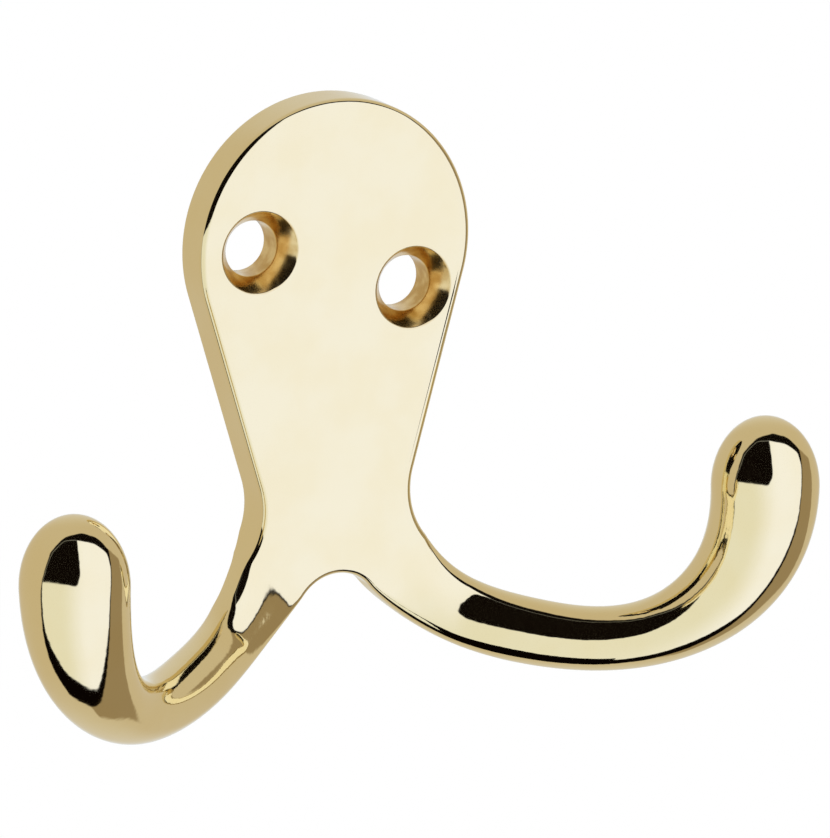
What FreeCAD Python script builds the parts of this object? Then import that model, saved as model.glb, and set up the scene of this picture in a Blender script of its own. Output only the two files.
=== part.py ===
import FreeCAD, Part
import math
import os

# Double robe hook: a flat pear-shaped wall plate and two round arms, cast as one piece.
# Millimetres. The origin is on the wall, midway between the two screw holes.
# X runs to the right, Y into the wall and Z up, so the hook stands out towards -Y.

# Wall plate
PLATE_THICKNESS = 4.5
HEAD_RADIUS = 13.63
HEAD_RISE = 2.15           # centre of the round head above the origin
WAIST_RADIUS = 7.27        # hollow curve between the plate's side and the arm's upper edge
NOTCH_RADIUS = 4.32        # hollow curve between the two arms
NOTCH_DROP = 28.53         # crown of the notch below the origin
EDGE_ROUNDING = 0.65       # along the front and back edges of the plate

# Screw holes, set on a slant so that the left one is higher
HOLE_SPREAD = 15.5         # across, centre to centre
HOLE_STAGGER = 5.1         # up and down, centre to centre
BORE_DIAMETER = 5.1
COUNTERSINK_DIAMETER = 7.9
COUNTERSINK_DEPTH = 1.9

# Root of an arm, where it leaves the plate
ROOT_SLOPE = 52.75         # degrees below the horizontal
ROOT_WIDTH = 7.06
ROOT_LEAD = 1.6            # how far the front goes on flat before it bends
ROOT_BACK_RISE = 1.0       # how far the back lifts off the wall over that lead

# An arm bends in one upright plane, which is turned out of the wall
ARM_TURN = 35.0            # degrees
SHOULDER_FORWARD = 4.2     # forward of the wall at the shoulder

# Poles that draw the arm's centre line in that plane: out from the middle and below the origin
SHOULDER_OUT = 10.35
SHOULDER_DROP = 32.9
ELBOW_OUT = 16.75
ELBOW_DROP = 35.4
SADDLE_OUT = 28.15
SADDLE_DROP = 36.4
RISE_OUT = 34.8
RISE_DROP = 27.7
TIP_OUT = 34.85
TIP_DROP = 20.65

# Thickness of the arm at those poles
SHOULDER_WIDTH = 5.95
SHOULDER_THICKNESS = 3.2
SHOULDER_ROUNDNESS = 0.8   # 0 is a rectangle with rounded edges, 1 is an oval
ELBOW_WIDTH = 6.4
ELBOW_THICKNESS = 5.8
SADDLE_DIAMETER = 5.2
RISE_DIAMETER = 9.65
TIP_DIAMETER = 9.95
TIP_DOME = 6.5             # length of the rounded end
CROWN_SHARE = 0.8          # radius of the end's crown as a share of the tip's radius

SECTIONS = 28              # short straight steps that the arm is lofted in
OVAL_SWEEP = 22.5          # degrees that half of a side turns through in a full oval
CUT_OVERLAP = 1.0          # how far a cutter reaches past the faces that it cuts

FRONT = FreeCAD.Vector(0, -1, 0)


def at(x, z, y=0.0):
    """Point from its place on the wall and its distance from the wall."""
    return FreeCAD.Vector(x, y, z)


def arc(start, middle, end):
    return Part.Arc(start, middle, end).toShape()


def line(start, end):
    return Part.LineSegment(start, end).toShape()


def mirrored(shape):
    """The same shape on the other side of the plate."""
    return shape.mirror(FreeCAD.Vector(0, 0, 0), FreeCAD.Vector(1, 0, 0))


def root_frame():
    """Centre of the arm's root on the wall, its direction, and the direction across it."""
    slope = math.radians(ROOT_SLOPE)
    along = at(math.cos(slope), -math.sin(slope))
    across = at(math.sin(slope), math.cos(slope))
    notch_centre = at(0, -NOTCH_DROP - NOTCH_RADIUS)
    lower = notch_centre + across * NOTCH_RADIUS
    return lower + across * (ROOT_WIDTH / 2), along, across


def plate_outline():
    """Closed outline of the plate on the wall, ending at the root of each arm."""
    centre, along, across = root_frame()
    upper = centre + across * (ROOT_WIDTH / 2)
    lower = centre - across * (ROOT_WIDTH / 2)
    head = at(0, HEAD_RISE)
    waist = upper + across * WAIST_RADIUS

    # The plate's side is the line that touches the head's circle and the waist's circle
    reach = waist - head
    bearing = math.atan2(reach.z, reach.x)
    turn = math.acos((HEAD_RADIUS + WAIST_RADIUS) / reach.Length)
    side_normal = at(math.cos(bearing + turn), math.sin(bearing + turn))
    side_top = head + side_normal * HEAD_RADIUS
    side_foot = waist - side_normal * WAIST_RADIUS
    waist_normal = side_normal + across
    waist_normal.normalize()
    waist_middle = waist - waist_normal * WAIST_RADIUS

    half = [line(side_top, side_foot), arc(side_foot, waist_middle, upper), line(upper, lower)]
    head_top = at(0, HEAD_RISE + HEAD_RADIUS)
    head_arc = arc(at(-side_top.x, side_top.z), head_top, side_top)
    notch_arc = arc(lower, at(0, -NOTCH_DROP), at(-lower.x, lower.z))
    edges = [head_arc, notch_arc] + half + [mirrored(edge) for edge in half]
    return Part.Wire(Part.__sortEdges__(edges))


def screw_hole(x, z):
    """Cutter for one countersunk hole, from behind the wall to in front of the plate."""
    bore = BORE_DIAMETER / 2
    rim = COUNTERSINK_DIAMETER / 2
    flare = (rim - bore) / COUNTERSINK_DEPTH
    shank = Part.makeCylinder(bore, PLATE_THICKNESS + 2 * CUT_OVERLAP, at(x, z, CUT_OVERLAP), FRONT)
    seat_foot = at(x, z, COUNTERSINK_DEPTH - PLATE_THICKNESS)
    seat = Part.makeCone(bore, rim + flare * CUT_OVERLAP, COUNTERSINK_DEPTH + CUT_OVERLAP, seat_foot, FRONT)
    return shank.fuse(seat)


def plate():
    """Plate with rounded edges and two countersunk holes, cut off square at each root."""
    slab = Part.Face(plate_outline()).extrude(FRONT * PLATE_THICKNESS)

    # Every edge of the front and back is rounded, apart from those where an arm carries on
    root = root_frame()[0]
    rounded = []
    for edge in slab.Edges:
        middle = edge.valueAt((edge.FirstParameter + edge.LastParameter) / 2)
        lies_flat = edge.BoundBox.YLength < EDGE_ROUNDING / 2
        at_root = math.hypot(abs(middle.x) - root.x, middle.z - root.z) < EDGE_ROUNDING / 2
        if lies_flat and not at_root:
            rounded.append(edge)
    body = slab.makeFillet(EDGE_ROUNDING, rounded)

    for side in (-1, 1):
        body = body.cut(screw_hole(side * HOLE_SPREAD / 2, -side * HOLE_STAGGER / 2))
    return body


def spline(poles):
    """Smooth curve from the first pole to the last, drawn towards the ones between."""
    spans = len(poles) - 3
    knots = [i / spans for i in range(spans + 1)]
    mults = [4] + [1] * (spans - 1) + [4]
    curve = Part.BSplineCurve()
    curve.buildFromPolesMultsKnots(poles, mults, knots, False, 3)
    return curve


def arm_pole(out, drop):
    """Pole of the arm's centre line, in the upright plane that the arm bends in."""
    forward = SHOULDER_FORWARD + (out - SHOULDER_OUT) * math.tan(math.radians(ARM_TURN))
    return at(out, -drop, -forward)


def arm_curves():
    """Three curves of the right arm: its centre line, its heading, and its half sizes with roundness."""
    centre, along, across = root_frame()
    half_root = PLATE_THICKNESS / 2
    half_lead = half_root - ROOT_BACK_RISE / 2
    root = centre + FRONT * half_root
    bent = [
        arm_pole(SHOULDER_OUT, SHOULDER_DROP),
        arm_pole(ELBOW_OUT, ELBOW_DROP),
        arm_pole(SADDLE_OUT, SADDLE_DROP),
        arm_pole(RISE_OUT, RISE_DROP),
        arm_pole(TIP_OUT, TIP_DROP),
    ]
    straight_on = root + along * ROOT_LEAD
    lead = straight_on + FRONT * (half_root - half_lead)
    sizes = [
        FreeCAD.Vector(ROOT_WIDTH / 2, half_root, 0),
        FreeCAD.Vector(ROOT_WIDTH / 2, half_lead, 0),
        FreeCAD.Vector(SHOULDER_WIDTH / 2, SHOULDER_THICKNESS / 2, SHOULDER_ROUNDNESS),
        FreeCAD.Vector(ELBOW_WIDTH / 2, ELBOW_THICKNESS / 2, 1),
        FreeCAD.Vector(SADDLE_DIAMETER / 2, SADDLE_DIAMETER / 2, 1),
        FreeCAD.Vector(RISE_DIAMETER / 2, RISE_DIAMETER / 2, 1),
        FreeCAD.Vector(TIP_DIAMETER / 2, TIP_DIAMETER / 2, 1),
    ]
    return spline([root, lead] + bent), spline([root, straight_on] + bent), spline(sizes)


def section(route, heading, sizes, u):
    """Section of the arm at u from 0 to 1: four sides and four corners that run into one another."""
    centre = route.value(u)
    along = heading.tangent(u)[0]
    across = FRONT.cross(along)
    across.normalize()
    front = along.cross(across)
    size = sizes.value(u)
    width, depth, roundness = size.x, size.y, min(size.z, 1.0)
    corner = (1 - roundness) * EDGE_ROUNDING + roundness * min(width, depth)
    sweep = math.radians(OVAL_SWEEP) * roundness

    # Where the sides meet the corner, for sides that each turn through the sweep on both hands
    lean = math.tan(sweep / 2)
    inset = corner * (math.cos(sweep) - math.sin(sweep))
    side_rise = (depth - inset - (width - inset) * lean) / (1 - lean * lean)
    front_run = (width - inset - (depth - inset) * lean) / (1 - lean * lean)
    side_end = (width - lean * side_rise, side_rise)
    front_end = (front_run, depth - lean * front_run)
    corner_x = side_end[0] - corner * math.cos(sweep) + corner * math.sqrt(0.5)
    corner_y = side_end[1] - corner * math.sin(sweep) + corner * math.sqrt(0.5)

    def point(x, y):
        return centre + across * x + front * y

    def side(start, middle, end):
        if sweep < 1e-6:
            return line(start, end)
        return arc(start, middle, end)

    edges = []
    for x, y in ((1, 1), (-1, 1), (-1, -1), (1, -1)):
        side_point = point(x * side_end[0], y * side_end[1])
        front_point = point(x * front_end[0], y * front_end[1])
        turn = arc(side_point, point(x * corner_x, y * corner_y), front_point)
        if x == y:
            next_point = point(-x * front_end[0], y * front_end[1])
            edges += [turn, side(front_point, point(0, y * depth), next_point)]
        else:
            next_point = point(x * side_end[0], -y * side_end[1])
            edges += [turn, side(side_point, point(x * width, 0), next_point)]
    return Part.Wire(Part.__sortEdges__(edges))


def tip_dome(centre, along):
    """Rounded end of an arm: an arc and a rounder crown, turned about the end of the centre line."""
    outward = FRONT.cross(along)
    outward.normalize()
    rim = TIP_DIAMETER / 2
    crown = rim * CROWN_SHARE
    crown_rise = TIP_DOME - crown
    side = (rim * rim + crown_rise * crown_rise - crown * crown) / (2 * (rim - crown))
    meeting = math.atan2(crown_rise, side - rim)
    top = math.pi / 2

    def side_point(turn):
        return centre + outward * (rim - side + side * math.cos(turn)) + along * (side * math.sin(turn))

    def crown_point(turn):
        return centre + outward * (crown * math.cos(turn)) + along * (crown_rise + crown * math.sin(turn))

    edges = [
        line(centre, side_point(0)),
        arc(side_point(0), side_point(meeting / 2), side_point(meeting)),
        arc(side_point(meeting), crown_point((meeting + top) / 2), crown_point(top)),
        line(crown_point(top), centre),
    ]
    return Part.Face(Part.Wire(edges)).revolve(centre, along, 360)


def arm():
    """Right arm from the plate to its rounded end."""
    route, heading, sizes = arm_curves()
    wires = [section(route, heading, sizes, i / SECTIONS) for i in range(SECTIONS + 1)]
    bar = Part.makeLoft(wires, True, True)
    return bar.fuse(tip_dome(route.value(1), route.tangent(1)[0]))


def hook_casting():
    """The whole hook as one solid."""
    right_arm = arm()
    whole = plate().fuse([right_arm, mirrored(right_arm)])
    return whole.removeSplitter()


os.makedirs("parts", exist_ok=True)
casting = hook_casting()
if len(casting.Solids) != 1 or not casting.isValid():
    raise ValueError("the hook is not one sound solid")
casting.Solids[0].exportStep("parts/hook_casting.step")
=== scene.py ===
import math

import bmesh
import bpy
from mathutils import Matrix, Quaternion, Vector


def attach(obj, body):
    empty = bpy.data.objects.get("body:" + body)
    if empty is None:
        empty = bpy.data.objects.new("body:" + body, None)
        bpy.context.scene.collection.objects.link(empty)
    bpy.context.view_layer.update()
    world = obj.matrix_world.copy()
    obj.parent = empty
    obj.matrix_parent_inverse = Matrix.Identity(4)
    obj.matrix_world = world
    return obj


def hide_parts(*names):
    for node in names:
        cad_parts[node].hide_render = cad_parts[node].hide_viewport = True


bl_info = {
    "name": "Double robe hook",
    "version": (1, 0, 0),
    "blender": (4, 5, 0),
    "location": "3D View > Sidebar > Robe Hook",
    "description": "Models a double robe hook in polished brass and sets it on a white stage",
    "category": "Object",
}

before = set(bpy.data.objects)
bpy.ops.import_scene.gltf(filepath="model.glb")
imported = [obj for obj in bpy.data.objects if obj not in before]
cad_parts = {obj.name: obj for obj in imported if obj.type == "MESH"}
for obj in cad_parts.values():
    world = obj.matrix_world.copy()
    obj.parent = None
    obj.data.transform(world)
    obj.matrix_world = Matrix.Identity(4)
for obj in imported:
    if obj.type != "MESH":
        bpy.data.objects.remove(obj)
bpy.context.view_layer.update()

# How finely the curved faces are divided
CORNER_STEPS = 10
SIDE_STEPS = 10
FRONT_STEPS = 20
ARM_STEPS = 140
DOME_STEPS = 28
HEAD_STEPS = 90
WAIST_STEPS = 24
NOTCH_STEPS = 24
HOLE_STEPS = 72
BEVEL_STEPS = 4
RELIEF_STEPS = 8

# The studio as the hook sees it. Corners run clockwise, in degrees to the right of the camera
# and above it.
SOFTBOX = (
    (-70, -8), (-50, 36), (-22, 56), (6, 57), (54, 51), (80, 38), (85, 18), (82, -14), (78, -38),
    (66, -55), (54, -69), (33, -85), (12, -88), (-6, -86), (-34, -79), (-62, -58), (-70, -46),
)
SOFTBOX_FRAME = (
    (-73, -10), (-54, 38), (-24, 63), (18, 74), (60, 67), (88, 46), (88, 16), (84, -15),
    (80.5, -39.5), (70, -58), (58, -73), (38, -93), (14, -104), (-6, -105), (-40, -99),
    (-67, -74), (-75, -54),
)
DOORWAY = ((-80, -4), (-80, 80), (4, 80), (14, 12), (14, 1), (5, -13))
BROWN_WALL = (
    (0, -50), (60, 44), (84, 48), (115, 34), (117, 0), (117, -30),
    (115, -62), (103, -83), (54, -107), (18, -114), (0, -100),
)

# Degrees over which the lights of the studio run into one another
CORNER_BLENDING = 5
SHARP_EDGE = (-1, 1)
WALL_EDGE = (-2, 2)
SOFTBOX_FADE = (-30, 30)
CEILING_FADE = (85, 150)
SWEEP_FADE = (150, 180)

# The noise that draws the clouds and ripples in the brass
CLOUD_DETAIL = 3
CLOUD_FADE = (0.3, 0.7)
HOLE_CLOUD_DETAIL = 2
HOLE_CLOUD_FADE = (0.35, 0.65)
RIPPLE_DETAIL = 1

# Sockets of a Mix node for colours
MIX_UNDER = 6
MIX_OVER = 7
MIX_RESULT = 2

FRONT = Vector((0, -1, 0))
OVAL_SWEEP = math.radians(22.5)  # half of a side turns through this in a full oval
STRAIGHT = 1e-6  # a side that turns through less is straight
SPLINE_DEGREE = 3
MERGE_DISTANCE = 2e-6


def length(name, description, default):
    return bpy.props.FloatProperty(
        name=name, description=description, default=default, unit="LENGTH", precision=5
    )


def angle(name, description, degrees):
    return bpy.props.FloatProperty(
        name=name, description=description, default=math.radians(degrees), subtype="ANGLE"
    )


def share(name, description, default):
    return bpy.props.FloatProperty(
        name=name, description=description, default=default, min=0, max=1, subtype="FACTOR"
    )


def colour(name, description, default):
    return bpy.props.FloatVectorProperty(
        name=name, description=description, default=default, min=0, max=2, subtype="COLOR"
    )


class PlateSizes(bpy.types.PropertyGroup):
    """The flat pear-shaped plate that lies on the wall."""

    thickness: length("Thickness", "From the wall to the front", 0.0045)
    head_radius: length("Head radius", "Radius of the round head", 0.01362)
    head_rise: length("Head rise", "Centre of the head above the screw holes' middle", 0.00215)
    waist_radius: length("Waist radius", "Hollow curve between the side and the arm", 0.00727)
    notch_radius: length("Notch radius", "Hollow curve between the two arms", 0.00432)
    notch_drop: length("Notch drop", "Crown of the notch below the screw holes' middle", 0.02853)
    edge_rounding: length("Edge rounding", "Rounding of the front and back edges", 0.00065)
    flat_margin: length("Flat margin", "Width of the strip along a flat face's edges", 0.00012)
    relief_depth: length("Relief depth", "How far the back eases off above the arms", 0.0012)
    relief_start: length("Relief start", "Start of that relief below the screw holes", 0.024)
    relief_end: length("Relief end", "Where the relief is full, below the screw holes", 0.027)
    relief_reach: length("Relief reach", "How far off the wall the relief dies out", 0.0035)


class HoleSizes(bpy.types.PropertyGroup):
    """Two countersunk screw holes, the left one higher."""

    spread: length("Spread", "Between the centres, across", 0.0155)
    stagger: length("Stagger", "Between the centres, up and down", 0.0051)
    bore: length("Bore", "Diameter of the bore", 0.0051)
    seat: length("Countersink", "Diameter of the countersink, inside its rounded rim", 0.0076)
    seat_depth: length("Countersink depth", "Depth of the countersink", 0.0019)
    rounding: length("Rim rounding", "Rounding of the hole's edges", 0.00015)
    margin: length("Rim margin", "Width of the flat ring round the hole", 0.0003)


class ArmSizes(bpy.types.PropertyGroup):
    """The right arm, which the left one mirrors."""

    root_slope: angle("Root slope", "Slope down of the arm where it leaves the plate", 52.75)
    root_width: length("Root width", "Width of the arm where it leaves the plate", 0.00706)
    root_lead: length("Root lead", "How far the front goes on flat before it bends", 0.0016)
    root_back_rise: length("Back rise", "How far the back lifts off over that lead", 0.001)
    turn: angle("Turn", "How far the arm's plane is turned out of the wall", 35.0)
    shoulder_forward: length("Shoulder forward", "Shoulder in front of the wall", 0.0042)
    shoulder_out: length("Shoulder out", "Shoulder from the middle", 0.01035)
    shoulder_drop: length("Shoulder drop", "Shoulder below the screw holes", 0.0329)
    elbow_out: length("Elbow out", "Elbow from the middle", 0.01675)
    elbow_drop: length("Elbow drop", "Elbow below the screw holes", 0.0354)
    saddle_out: length("Saddle out", "Saddle from the middle", 0.02815)
    saddle_drop: length("Saddle drop", "Saddle below the screw holes", 0.0364)
    rise_out: length("Rise out", "Rise from the middle", 0.0348)
    rise_drop: length("Rise drop", "Rise below the screw holes", 0.0277)
    tip_out: length("Tip out", "Tip from the middle", 0.03485)
    tip_drop: length("Tip drop", "Tip below the screw holes", 0.02065)
    shoulder_width: length("Shoulder width", "Width at the shoulder", 0.00595)
    shoulder_thickness: length("Shoulder thickness", "Thickness at the shoulder", 0.0032)
    shoulder_roundness: share("Shoulder roundness", "0 is a rectangle and 1 is an oval", 0.8)
    elbow_width: length("Elbow width", "Width at the elbow", 0.0064)
    elbow_thickness: length("Elbow thickness", "Thickness at the elbow", 0.0058)
    saddle_diameter: length("Saddle diameter", "Diameter at the saddle", 0.00518)
    rise_diameter: length("Rise diameter", "Diameter at the rise", 0.00962)
    tip_diameter: length("Tip diameter", "Diameter at the tip", 0.00992)
    tip_dome: length("Tip dome", "Length of the rounded end", 0.0065)
    ridge_slope: angle("Ridge slope", "Slope of a soft ridge that leaves the plate's front", 19.5)
    ridge_start: length("Ridge start", "Start of the ridge along the arm", 0.0007)
    ridge_blending: length("Ridge blending", "How softly the ridge runs into the arm", 0.00015)
    ridge_offset: share("Ridge offset", "Ridge above the arm's middle, by half widths", 0.4)


class BrassFinish(bpy.types.PropertyGroup):
    """Polished brass, left duller in the screw holes."""

    brass: colour("Brass", "Colour of the polished metal", (0.90, 0.79, 0.48))
    warm_brass: colour("Warm brass", "Colour where the polish is thinner", (0.89, 0.765, 0.44))
    hole_gold: colour("Hole gold", "Colour inside the screw holes", (0.87, 0.68, 0.34))
    hole_brown: colour("Hole brown", "Darker clouds inside the screw holes", (0.66, 0.45, 0.17))
    roughness: share("Roughness", "Roughness of the polish", 0.045)
    cloud_roughness: share("Cloud roughness", "Added roughness in the polish's clouds", 0.025)
    hole_roughness: share("Hole roughness", "Roughness inside the screw holes", 0.165)
    cloud_size: length("Cloud size", "Size of the clouds in the polish", 0.006)
    ripple_size: length("Ripple size", "Width of the ripples that polishing leaves", 0.0008)
    ripple_height: length("Ripple height", "Height of those ripples", 0.000006)
    hole_cloud_size: length("Hole cloud size", "Size of the clouds inside the holes", 0.0016)


class StageLook(bpy.types.PropertyGroup):
    """Camera, light and background."""

    turn: angle("Camera turn", "Camera to the left of the plate's front", 27.367)
    height: angle("Camera height", "Camera above the horizon", 15.312)
    roll: angle("Camera roll", "Roll of the camera", -0.221)
    distance: length("Camera distance", "Camera from the hook", 1.02454)
    lens: bpy.props.FloatProperty(
        name="Lens", description="Focal length", default=488.31, unit="CAMERA"
    )
    middle_forward: length("Middle forward", "Middle of the hook in front of the wall", 0.0099)
    middle_drop: length("Middle drop", "Middle of the hook below the screw holes", 0.01585)
    aim_right: length("Aim right", "How far the camera aims right of the middle", 0.004442)
    aim_up: length("Aim up", "How far the camera aims above the middle", 0.003109)
    floor_drop: length("Floor drop", "Floor below the screw holes", 0.3)
    floor_size: length("Floor size", "Length of the floor's sides", 12.0)
    # The dark card is a black sheet hidden from the camera, put under the right arm so that the
    # brass shows a painted dark reflection that stands in for the shade beneath the hook
    card_out: length("Card out", "Dark card to the right of the middle", 0.0095)
    card_forward: length("Card forward", "Dark card in front of the wall", 0.0148)
    card_drop: length("Card drop", "Dark card below the screw holes", 0.055)
    card_width: length("Card width", "Width of the dark card under the right arm", 0.024)
    card_depth: length("Card depth", "Depth of that card", 0.014)
    card_tilt: angle("Card tilt", "Slope of the card, down to the right", 41.0)
    card_turn: angle("Card turn", "How far the card is turned towards the camera", 35.0)
    background: colour("Background", "Colour of the background", (1.0, 1.0, 1.0))
    softbox: colour("Softbox", "Light of the softbox's right side", (1.02, 1.09, 1.42))
    softbox_left: colour("Softbox left", "Light of the softbox's left side", (0.87, 0.91, 0.97))
    room: colour("Room", "Light of the room round the softbox", (0.62, 0.55, 0.44))
    pale_room: colour("Pale room", "Light of the room's ceiling and floor", (0.69, 0.66, 0.63))
    wall: colour("Brown wall", "Light of the wall to the right", (0.33, 0.26, 0.17))
    sweep: colour("Sweep", "Light of the white sweep behind the hook", (0.80, 0.84, 0.90))
    # Dark is also the card's colour, which paints a dark reflection of shade along the right arm
    dark: colour("Dark", "Light of the doorway, the frame and the card", (0.003, 0.0015, 0.001))


class HookSettings(bpy.types.PropertyGroup):
    """All sizes and looks of the hook."""

    plate: bpy.props.PointerProperty(type=PlateSizes, name="Plate", description="Wall plate")
    holes: bpy.props.PointerProperty(type=HoleSizes, name="Holes", description="Screw holes")
    arm: bpy.props.PointerProperty(type=ArmSizes, name="Arm", description="Arms")
    finish: bpy.props.PointerProperty(type=BrassFinish, name="Finish", description="Brass")
    stage: bpy.props.PointerProperty(type=StageLook, name="Stage", description="Camera and light")


class Value:
    """Output of a shader node that takes part in plain arithmetic."""

    def __init__(self, shader, socket):
        self.shader = shader
        self.socket = socket

    def maths(self, operation, *operands):
        inputs = dict(enumerate(operands))
        return self.shader.node("ShaderNodeMath", {"operation": operation}, inputs)

    def __add__(self, other):
        return self.maths("ADD", self, other)

    def __radd__(self, other):
        return self.maths("ADD", other, self)

    def __sub__(self, other):
        return self.maths("SUBTRACT", self, other)

    def __rsub__(self, other):
        return self.maths("SUBTRACT", other, self)

    def __mul__(self, other):
        return self.maths("MULTIPLY", self, other)

    def __rmul__(self, other):
        return self.maths("MULTIPLY", other, self)

    def __abs__(self):
        return self.maths("ABSOLUTE", self)

    def least(self, other, blending):
        """The lesser of two values, which run into one another over a distance."""
        return self.maths("SMOOTH_MIN", self, other, blending)

    def step(self, start, end):
        """Climbs smoothly from 0 at the start to 1 at the end."""
        inputs = {"Value": self, "From Min": start, "From Max": end}
        return self.shader.node("ShaderNodeMapRange", {"interpolation_type": "SMOOTHSTEP"}, inputs)


class Shader:
    """Node tree of a material or of the world."""

    def __init__(self, owner):
        owner.use_nodes = True
        self.tree = owner.node_tree
        self.tree.nodes.clear()

    def node(self, kind, settings, inputs, output=0):
        """Adds a node, sets it up, feeds its sockets and returns one of its outputs."""
        made = self.tree.nodes.new(kind)
        for name, setting in settings.items():
            setattr(made, name, setting)
        for name, value in inputs.items():
            if isinstance(value, Value):
                self.tree.links.new(value.socket, made.inputs[name])
            else:
                made.inputs[name].default_value = value
        return Value(self, made.outputs[output]) if made.outputs else None

    def vector(self, operation, inputs, output=0):
        return self.node("ShaderNodeVectorMath", {"operation": operation}, inputs, output)

    def dot(self, direction, fixed):
        return self.vector("DOT_PRODUCT", {0: direction, 1: tuple(fixed)}, "Value")

    def noise(self, place, size, detail):
        """Cloudy pattern about 0.5, with clouds of a size."""
        inputs = {"Vector": place, "Scale": 1 / size, "Detail": detail}
        return self.node("ShaderNodeTexNoise", {}, inputs)

    def blend(self, mask, under, over):
        """Lays one colour over another where the mask is 1."""
        inputs = {"Factor": mask, MIX_UNDER: under, MIX_OVER: over}
        return self.node("ShaderNodeMix", {"data_type": "RGBA"}, inputs, MIX_RESULT)


def rise(value, start, end):
    """Climbs smoothly from 0 at the start to 1 at the end."""
    climb = min(max((value - start) / (end - start), 0), 1)
    return climb * climb * (3 - 2 * climb)


def spline_chord(poles, u):
    """Chord that touches the smooth curve the poles draw, at u from 0 to 1, and where along it."""
    spans = len(poles) - SPLINE_DEGREE
    span = min(int(u * spans), spans - 1)
    count = len(poles) + SPLINE_DEGREE + 1
    knots = [min(max(i - SPLINE_DEGREE, 0), spans) / spans for i in range(count)]
    points = [Vector(pole) for pole in poles[span:span + SPLINE_DEGREE + 1]]
    for level in range(1, SPLINE_DEGREE):
        for i in range(SPLINE_DEGREE, level - 1, -1):
            start = knots[span + i]
            end = knots[span + i + SPLINE_DEGREE + 1 - level]
            points[i] = points[i - 1].lerp(points[i], (u - start) / (end - start))
    behind, ahead = points[-2:]
    return behind, ahead, u * spans - span


def spline_point(poles, u):
    """Point at u on that curve."""
    behind, ahead, along = spline_chord(poles, u)
    return behind.lerp(ahead, along)


def spline_heading(poles, u):
    """Direction of that curve at u."""
    behind, ahead, _ = spline_chord(poles, u)
    return (ahead - behind).normalized()


def polar(vector):
    """Angle of a direction on the wall, from +X towards +Z."""
    return math.atan2(vector.z, vector.x)


def notch_centre(plate):
    """Centre of the hollow curve between the arms, on the wall."""
    return Vector((0, 0, -plate.notch_drop - plate.notch_radius))


def root_frame(plate, arm):
    """Centre of the right arm's root on the wall, its direction, and the direction across it."""
    along = Vector((math.cos(arm.root_slope), 0, -math.sin(arm.root_slope)))
    across = FRONT.cross(along)
    centre = notch_centre(plate) + across * (plate.notch_radius + arm.root_width / 2)
    return centre, along, across


def arm_pole(arm, out, drop):
    """Pole of the arm's centre line, in the upright plane that the arm bends in."""
    forward = arm.shoulder_forward + (out - arm.shoulder_out) * math.tan(arm.turn)
    return Vector((out, -forward, -drop))


def arm_curves(plate, arm):
    """Poles of the arm's centre line, of its heading, and of its half sizes with roundness."""
    centre, along, _ = root_frame(plate, arm)
    half_root = plate.thickness / 2
    half_lead = half_root - arm.root_back_rise / 2
    root = centre + FRONT * half_root
    straight_on = root + along * arm.root_lead
    lead = straight_on + FRONT * (half_root - half_lead)
    bent = [
        arm_pole(arm, arm.shoulder_out, arm.shoulder_drop),
        arm_pole(arm, arm.elbow_out, arm.elbow_drop),
        arm_pole(arm, arm.saddle_out, arm.saddle_drop),
        arm_pole(arm, arm.rise_out, arm.rise_drop),
        arm_pole(arm, arm.tip_out, arm.tip_drop),
    ]
    sizes = [
        (arm.root_width / 2, half_root, 0),
        (arm.root_width / 2, half_lead, 0),
        (arm.shoulder_width / 2, arm.shoulder_thickness / 2, arm.shoulder_roundness),
        (arm.elbow_width / 2, arm.elbow_thickness / 2, 1),
        (arm.saddle_diameter / 2, arm.saddle_diameter / 2, 1),
        (arm.rise_diameter / 2, arm.rise_diameter / 2, 1),
        (arm.tip_diameter / 2, arm.tip_diameter / 2, 1),
    ]
    return [root, lead] + bent, [root, straight_on] + bent, sizes


def bow(half_chord, sweep, t):
    """Point at t from -1 to 1 on a bowed side: along its chord, and back from its crown."""
    if sweep < STRAIGHT:
        return half_chord * t, 0.0
    radius = half_chord / math.sin(sweep)
    return radius * math.sin(sweep * t), radius * (1 - math.cos(sweep * t))


def section_outline(width, depth, roundness, rounding):
    """Outline of an arm's section, from the front end of its upper side round by the back."""
    corner = (1 - roundness) * rounding + roundness * min(width, depth)
    sweep = OVAL_SWEEP * roundness
    lean = math.tan(sweep / 2)
    inset = corner * (math.cos(sweep) - math.sin(sweep))
    side_run = (depth - inset - (width - inset) * lean) / (1 - lean * lean)
    front_run = (width - inset - (depth - inset) * lean) / (1 - lean * lean)
    hub_x = width - lean * side_run - corner * math.cos(sweep)
    hub_y = side_run - corner * math.sin(sweep)

    upper_corner = []
    for i in range(CORNER_STEPS + 1):
        turn = math.pi / 2 - sweep - i / CORNER_STEPS * (math.pi / 2 - 2 * sweep)
        upper_corner.append((hub_x + corner * math.cos(turn), hub_y + corner * math.sin(turn)))
    side = []
    for i in range(1, SIDE_STEPS):
        run, back = bow(side_run, sweep, 1 - 2 * i / SIDE_STEPS)
        side.append((width - back, run))
    upper_half = upper_corner + side + [(x, -y) for x, y in reversed(upper_corner)]
    lower_half = [(-x, y) for x, y in reversed(upper_half)]
    rear = []
    for i in range(1, FRONT_STEPS):
        run, back = bow(front_run, sweep, 1 - 2 * i / FRONT_STEPS)
        rear.append((run, back - depth))
    return upper_half + rear + lower_half + [(-x, -y) for x, y in rear]


def chain_edges(bm, chain):
    """Edges between the vertices of a chain."""
    return [bm.edges.get(pair) for pair in zip(chain, chain[1:])]


def new_ring(bm, count):
    """Closed ring of vertices in order."""
    ring = bmesh.ops.create_circle(bm, segments=count, radius=1)["verts"]
    return sorted(ring, key=lambda vertex: math.atan2(vertex.co.y, vertex.co.x))


def extrude_ring(bm, ring):
    """Extrudes a closed ring of vertices and returns the new ring in the same order."""
    made = bmesh.ops.extrude_edge_only(bm, edges=chain_edges(bm, ring + ring[:1]))["geom"]
    new = {item for item in made if isinstance(item, bmesh.types.BMVert)}
    return [next(e.other_vert(v) for e in v.link_edges if e.other_vert(v) in new) for v in ring]


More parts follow.
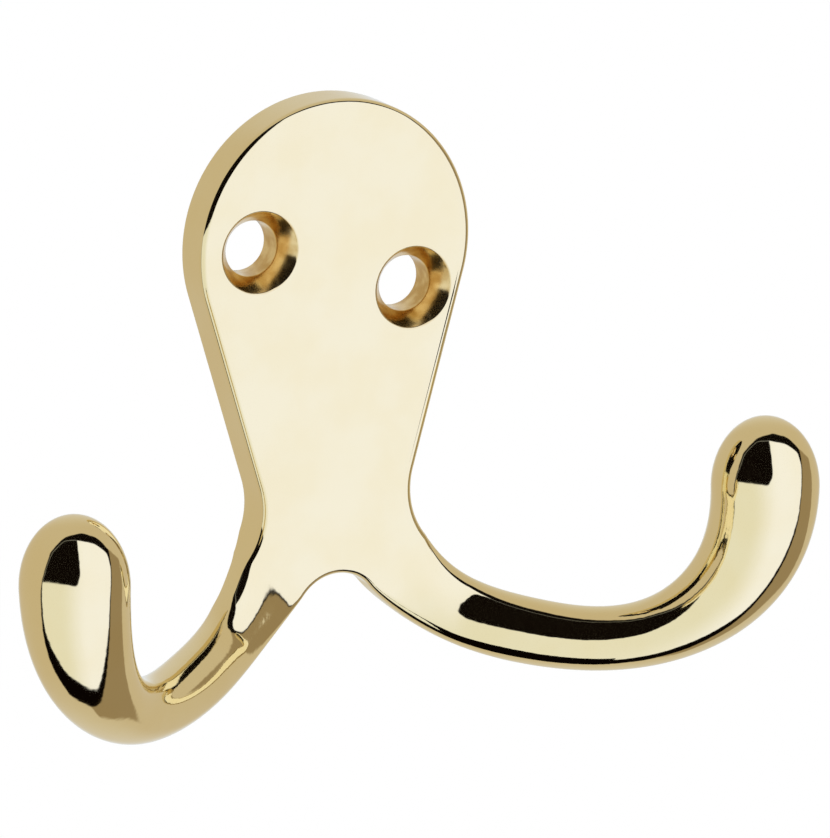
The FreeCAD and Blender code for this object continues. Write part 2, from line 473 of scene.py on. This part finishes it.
def model_arm(bm, plate, arm):
    """Right arm from its root to its rounded end; returns the ring at the root."""
    route, heading, sizes = arm_curves(plate, arm)

    def place(ring, u, lift, shrink):
        """Puts a ring on the section at u, moved along the arm and shrunk."""
        along = spline_heading(heading, u)
        across = FRONT.cross(along).normalized()
        front = along.cross(across)
        width, depth, roundness = spline_point(sizes, u)
        outline = section_outline(width, depth, min(roundness, 1.0), plate.edge_rounding)
        centre = spline_point(route, u) + along * lift

        # A soft ridge leaves the plate's front at a slope and runs into the arm
        reach = (centre - route[0]).length
        ridge_top = plate.thickness + math.tan(arm.ridge_slope) * (reach - arm.ridge_start)
        ridge = ridge_top + (centre + front * depth).y
        ridge = (ridge + math.hypot(ridge, arm.ridge_blending)) / 2
        ridge *= rise(reach, 0, arm.ridge_start)
        for vertex, (x, y) in zip(ring, outline):
            aside = x / width - arm.ridge_offset
            aside /= 1 - arm.ridge_offset if aside > 0 else 1 + arm.ridge_offset
            y += ridge * max(1 - aside * aside, 0) * max(y / depth, 0)
            vertex.co = centre + (across * x + front * y) * shrink

    root = new_ring(bm, 4 * CORNER_STEPS + 2 * SIDE_STEPS + 2 * FRONT_STEPS)
    place(root, 0, 0, 1)
    ring = root
    for i in range(1, ARM_STEPS + 1):
        ring = extrude_ring(bm, ring)
        place(ring, i / ARM_STEPS, 0, 1)
    for i in range(1, DOME_STEPS + 1):
        ring = extrude_ring(bm, ring)
        climb = math.pi / 2 * i / DOME_STEPS
        place(ring, 1, arm.tip_dome * math.sin(climb), math.cos(climb))
    bmesh.ops.pointmerge(bm, verts=ring, merge_co=ring[0].co)
    return root


def sweep_round(bm, geometry, centre, turn, steps):
    """Turns an edge's profile about a centre on the wall and returns the profile at the end."""
    return bmesh.ops.spin(
        bm, geom=geometry, cent=centre, axis=FRONT, angle=turn, steps=steps, use_merge=False
    )["geom_last"]


def model_plate_edge(bm, plate, arm, root):
    """Rounded edge of the plate's right half, from the arm's root to the top and to the notch."""
    centre, _, across = root_frame(plate, arm)
    half = 2 * CORNER_STEPS + SIDE_STEPS + 1
    upper_side = root[:half]
    lower_side = root[half + FRONT_STEPS - 1:2 * half + FRONT_STEPS - 1]
    head = Vector((0, 0, plate.head_rise))
    waist = centre + across * (arm.root_width / 2 + plate.waist_radius)

    # The straight side touches the head's circle and the waist's circle
    reach = waist - head
    lean = math.acos((plate.head_radius + plate.waist_radius) / reach.length)
    bearing = polar(reach) + lean
    side_normal = Vector((math.cos(bearing), 0, math.sin(bearing)))
    side = head + side_normal * plate.head_radius - (waist - side_normal * plate.waist_radius)

    profile = upper_side + chain_edges(bm, upper_side)
    profile = sweep_round(bm, profile, waist, bearing - polar(across), WAIST_STEPS)
    profile = bmesh.ops.spin(bm, geom=profile, dvec=side, axis=FRONT, steps=1)["geom_last"]
    sweep_round(bm, profile, head, math.pi / 2 - bearing, HEAD_STEPS)

    profile = lower_side + chain_edges(bm, lower_side)
    sweep_round(bm, profile, notch_centre(plate), math.pi / 2 - polar(across), NOTCH_STEPS)


def model_hole(bm, plate, holes, x, z):
    """Countersunk hole with a flat ring round each mouth; its edges are rounded."""
    seat = holes.seat / 2
    bore = holes.bore / 2
    rings = [
        (seat + holes.margin, plate.thickness),
        (seat, plate.thickness),
        (bore, plate.thickness - holes.seat_depth),
        (bore, 0),
        (bore + holes.margin, 0),
    ]
    ring = new_ring(bm, HOLE_STEPS)
    bends = []
    for v, (radius, forward) in enumerate(rings):
        if v > 0:
            ring = extrude_ring(bm, ring)
        for i, vertex in enumerate(ring):
            turn = 2 * math.pi * i / HOLE_STEPS
            vertex.co = (x + radius * math.cos(turn), -forward, z + radius * math.sin(turn))
        if 0 < v < len(rings) - 1:
            bends += chain_edges(bm, ring + ring[:1])
    bmesh.ops.bevel(
        bm, geom=bends, offset=holes.rounding,
        affect="EDGES", segments=BEVEL_STEPS, profile=0.5, material=-1,
    )


def fill_flat(bm, y, margin):
    """Closes the flat face at a depth, round the holes, with a narrow strip along its edges."""
    rim = [
        edge for edge in bm.edges
        if edge.is_boundary and all(abs(v.co.y - y) < MERGE_DISTANCE for v in edge.verts)
    ]
    made = bmesh.ops.triangle_fill(bm, use_beauty=True, edges=rim)["geom"]
    faces = [item for item in made if isinstance(item, bmesh.types.BMFace)]
    bmesh.ops.inset_region(
        bm, faces=faces, thickness=margin, use_even_offset=True, use_boundary=True
    )


def relieve_back(bm, plate):
    """Eases the back off the wall, towards the arms."""
    span = plate.relief_end - plate.relief_start
    for i in range(RELIEF_STEPS + 1):
        drop = plate.relief_start + span * i / RELIEF_STEPS
        back = [f for f in bm.faces if all(abs(v.co.y) < MERGE_DISTANCE for v in f.verts)]
        edges = dict.fromkeys(edge for face in back for edge in face.edges)
        verts = dict.fromkeys(vertex for face in back for vertex in face.verts)
        geometry = [*back, *edges, *verts]
        bmesh.ops.bisect_plane(bm, geom=geometry, plane_co=(0, 0, -drop), plane_no=(0, 0, 1))
    for vertex in bm.verts:
        down = rise(-vertex.co.z, plate.relief_start, plate.relief_end)
        near_wall = max(1 + vertex.co.y / plate.relief_reach, 0)
        vertex.co.y -= plate.relief_depth * down * near_wall


def casting_mesh(settings):
    """Mesh of the whole hook."""
    plate = settings.plate
    holes = settings.holes
    bm = bmesh.new()
    root = model_arm(bm, plate, settings.arm)
    model_plate_edge(bm, plate, settings.arm, root)
    everything = bm.verts[:] + bm.edges[:] + bm.faces[:]
    bmesh.ops.mirror(
        bm, geom=everything, matrix=Matrix.Identity(4), merge_dist=MERGE_DISTANCE, axis="X"
    )
    for side in (-1, 1):
        model_hole(bm, plate, holes, side * holes.spread / 2, -side * holes.stagger / 2)
    fill_flat(bm, -plate.thickness, plate.flat_margin)
    fill_flat(bm, 0, plate.flat_margin)
    relieve_back(bm, plate)
    bmesh.ops.remove_doubles(bm, verts=bm.verts, dist=MERGE_DISTANCE)
    bmesh.ops.recalc_face_normals(bm, faces=bm.faces)
    for face in bm.faces:
        face.smooth = True
    mesh = bpy.data.meshes.new("hook_casting_polished")
    bm.to_mesh(mesh)
    bm.free()
    return mesh


def in_holes(shader, place, holes):
    """Mask that is 1 inside the screw holes."""
    rim = holes.seat / 2 + holes.rounding
    mask = 0
    for side in (-1, 1):
        centre = (side * holes.spread / 2, 0, -side * holes.stagger / 2)
        aside = shader.vector("SUBTRACT", {0: place, 1: centre})
        aside = shader.vector("MULTIPLY", {0: aside, 1: (1, 0, 1)})
        distance = shader.vector("LENGTH", {0: aside}, "Value")
        mask = mask + distance.step(rim, rim - 2 * holes.rounding)
    return mask * shader.dot(place, FRONT).step(0, holes.rounding)


def polished_brass(finish, holes):
    """Polished brass with faint clouds and ripples, satin gold in the screw holes."""
    material = bpy.data.materials.new("polished_brass")
    shader = Shader(material)
    place = shader.node("ShaderNodeTexCoord", {}, {}, "Object")
    clouds = shader.noise(place, finish.cloud_size, CLOUD_DETAIL)
    hole_clouds = shader.noise(place, finish.hole_cloud_size, HOLE_CLOUD_DETAIL)
    ripples = shader.noise(place, finish.ripple_size, RIPPLE_DETAIL)
    hole = in_holes(shader, place, holes)

    cloudy = clouds.step(*CLOUD_FADE)
    polish = shader.blend(cloudy, (*finish.brass, 1), (*finish.warm_brass, 1))
    cloudy = hole_clouds.step(*HOLE_CLOUD_FADE)
    dull = shader.blend(cloudy, (*finish.hole_gold, 1), (*finish.hole_brown, 1))
    smooth = finish.roughness + finish.cloud_roughness * clouds
    ripple = {"Height": ripples, "Distance": finish.ripple_height}
    surface = shader.node(
        "ShaderNodeBsdfPrincipled",
        {},
        {
            "Base Color": shader.blend(hole, polish, dull),
            "Metallic": 1.0,
            "Roughness": smooth + hole * (finish.hole_roughness - smooth),
            "Normal": shader.node("ShaderNodeBump", {}, ripple),
        },
    )
    shader.node("ShaderNodeOutputMaterial", {}, {"Surface": surface})
    return material


class ROBEHOOK_OT_casting(bpy.types.Operator):
    """Model the hook casting in polished brass"""

    bl_idname = "robe_hook.casting"
    bl_label = "Hook casting"

    def execute(self, context):
        settings = context.scene.robe_hook
        casting = bpy.data.objects.new("hook_casting_polished", casting_mesh(settings))
        context.scene.collection.objects.link(casting)
        casting.data.materials.append(polished_brass(settings.finish, settings.holes))
        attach(casting, "root")
        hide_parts("hook_casting")
        return {"FINISHED"}


def camera_axes(look):
    """Directions to the right of the camera, above it, and from the hook back to it."""
    back = Vector((
        -math.sin(look.turn) * math.cos(look.height),
        -math.cos(look.turn) * math.cos(look.height),
        math.sin(look.height),
    ))
    right = Vector((math.cos(look.turn), -math.sin(look.turn), 0))
    return right, back.cross(right), back


def studio_place(shader, back):
    """Place of a direction in the studio: degrees from the camera, laid out flat round it."""
    towards = shader.node("ShaderNodeTexCoord", {}, {}, "Generated")
    facing = shader.dot(towards, back)
    degrees = facing.maths("ARCCOSINE", facing) * math.degrees(1)
    straight = shader.vector("SCALE", {0: tuple(back), "Scale": facing})
    aside = shader.vector("SUBTRACT", {0: towards, 1: straight})
    aside = shader.vector("NORMALIZE", {0: aside})
    return shader.vector("SCALE", {0: aside, "Scale": degrees}), degrees


def inside(shader, place, right, up, corners):
    """How many degrees a place lies inside an outline."""
    depth = None
    for (x, y), (next_x, next_y) in zip(corners, corners[1:] + corners[:1]):
        normal = Vector((next_y - y, x - next_x)).normalized()
        side = shader.dot(place, right * normal.x + up * normal.y) - normal.dot((x, y))
        depth = side if depth is None else depth.least(side, CORNER_BLENDING)
    return depth


def studio_light(shader, look):
    """Light of the studio by direction: a softbox with a dark doorway in it, in a warm room."""
    right, up, back = camera_axes(look)
    place, degrees = studio_place(shader, back)
    wall = inside(shader, place, right, up, BROWN_WALL).step(*WALL_EDGE)
    framed = inside(shader, place, right, up, SOFTBOX_FRAME).step(*SHARP_EDGE)
    softbox = inside(shader, place, right, up, SOFTBOX).step(*SHARP_EDGE)
    doorway = inside(shader, place, right, up, DOORWAY).step(*SHARP_EDGE)
    rightward = shader.dot(place, right).step(*SOFTBOX_FADE)
    ceiling = abs(shader.dot(place, up)).step(*CEILING_FADE)

    light = shader.blend(ceiling, (*look.room, 1), (*look.pale_room, 1))
    light = shader.blend(degrees.step(*SWEEP_FADE), light, (*look.sweep, 1))
    light = shader.blend(wall, light, (*look.wall, 1))
    light = shader.blend(framed, light, (*look.dark, 1))
    bright = shader.blend(rightward, (*look.softbox_left, 1), (*look.softbox, 1))
    light = shader.blend(softbox, light, bright)
    return shader.blend(softbox * doorway, light, (*look.dark, 1))


def flat_card(name, width, depth, tint):
    """Level matt card of one colour about the origin, seen only from above."""
    bm = bmesh.new()
    bmesh.ops.create_grid(bm, x_segments=1, y_segments=1, size=0.5)
    bmesh.ops.scale(bm, vec=(width, depth, 1), verts=bm.verts)
    mesh = bpy.data.meshes.new(name)
    bm.to_mesh(mesh)
    bm.free()
    material = bpy.data.materials.new(name)
    shader = Shader(material)
    matt = shader.node("ShaderNodeBsdfDiffuse", {}, {"Color": (*tint, 1)})
    clear = shader.node("ShaderNodeBsdfTransparent", {}, {})
    below = shader.node("ShaderNodeNewGeometry", {}, {}, "Backfacing")
    surface = shader.node("ShaderNodeMixShader", {}, {0: below, 1: matt, 2: clear})
    shader.node("ShaderNodeOutputMaterial", {}, {"Surface": surface})
    mesh.materials.append(material)
    return bpy.data.objects.new(name, mesh)


class ROBEHOOK_OT_stage(bpy.types.Operator):
    """Set up the camera, the light and the background"""

    bl_idname = "robe_hook.stage"
    bl_label = "White stage"

    def execute(self, context):
        scene = context.scene
        look = scene.robe_hook.stage
        scene.view_settings.view_transform = "Standard"
        scene.world = bpy.data.worlds.new("white_studio")
        shader = Shader(scene.world)
        plain = shader.node("ShaderNodeBackground", {}, {"Color": (*look.background, 1)})
        studio = shader.node("ShaderNodeBackground", {}, {"Color": studio_light(shader, look)})
        mirrored = shader.node("ShaderNodeLightPath", {}, {}, "Is Glossy Ray")
        light = shader.node("ShaderNodeMixShader", {}, {0: mirrored, 1: plain, 2: studio})
        shader.node("ShaderNodeOutputWorld", {}, {"Surface": light})

        floor = flat_card("white_floor", look.floor_size, look.floor_size, look.background)
        floor.data.transform(Matrix.Translation((0, 0, -look.floor_drop)))
        floor.visible_glossy = False
        # A black card seen only in reflections paints a dark line of shade along the right arm's
        # lower edge
        card = flat_card("shade_reflection_card", look.card_width, look.card_depth, look.dark)
        card_place = (look.card_out, -look.card_forward, -look.card_drop)
        card.data.transform(Matrix.Rotation(look.card_tilt, 4, "Y"))
        card.data.transform(Matrix.Rotation(-look.card_turn, 4, "Z"))
        card.data.transform(Matrix.Translation(card_place))
        card.visible_camera = False
        card.visible_diffuse = False
        for piece in (floor, card):
            scene.collection.objects.link(piece)

        right, up, back = camera_axes(look)
        middle = Vector((0, -look.middle_forward, -look.middle_drop))
        aim = middle + right * look.aim_right + up * look.aim_up
        place = middle + back * look.distance
        level = (aim - place).to_track_quat("-Z", "Y")
        camera = bpy.data.objects.new("photo_camera", bpy.data.cameras.new("photo_camera"))
        camera.data.lens = look.lens
        camera.location = place
        camera.rotation_mode = "QUATERNION"
        camera.rotation_quaternion = level @ Quaternion((0, 0, 1), look.roll)
        scene.collection.objects.link(camera)
        scene.camera = camera
        return {"FINISHED"}


class ROBEHOOK_PT_panel(bpy.types.Panel):
    """Steps that make the hook, in order"""

    bl_idname = "ROBEHOOK_PT_panel"
    bl_label = "Robe hook"
    bl_space_type = "VIEW_3D"
    bl_region_type = "UI"
    bl_category = "Robe Hook"

    def draw(self, context):
        for step in (ROBEHOOK_OT_casting, ROBEHOOK_OT_stage):
            self.layout.operator(step.bl_idname)


CLASSES = (
    PlateSizes,
    HoleSizes,
    ArmSizes,
    BrassFinish,
    StageLook,
    HookSettings,
    ROBEHOOK_OT_casting,
    ROBEHOOK_OT_stage,
    ROBEHOOK_PT_panel,
)


def register():
    for item in CLASSES:
        bpy.utils.register_class(item)
    bpy.types.Scene.robe_hook = bpy.props.PointerProperty(
        type=HookSettings, name="Robe hook", description="Sizes and looks of the hook"
    )


def unregister():
    del bpy.types.Scene.robe_hook
    for item in reversed(CLASSES):
        bpy.utils.unregister_class(item)


def main():
    register()
    bpy.ops.robe_hook.casting()
    bpy.ops.robe_hook.stage()


if __name__ == "__main__":
    main()
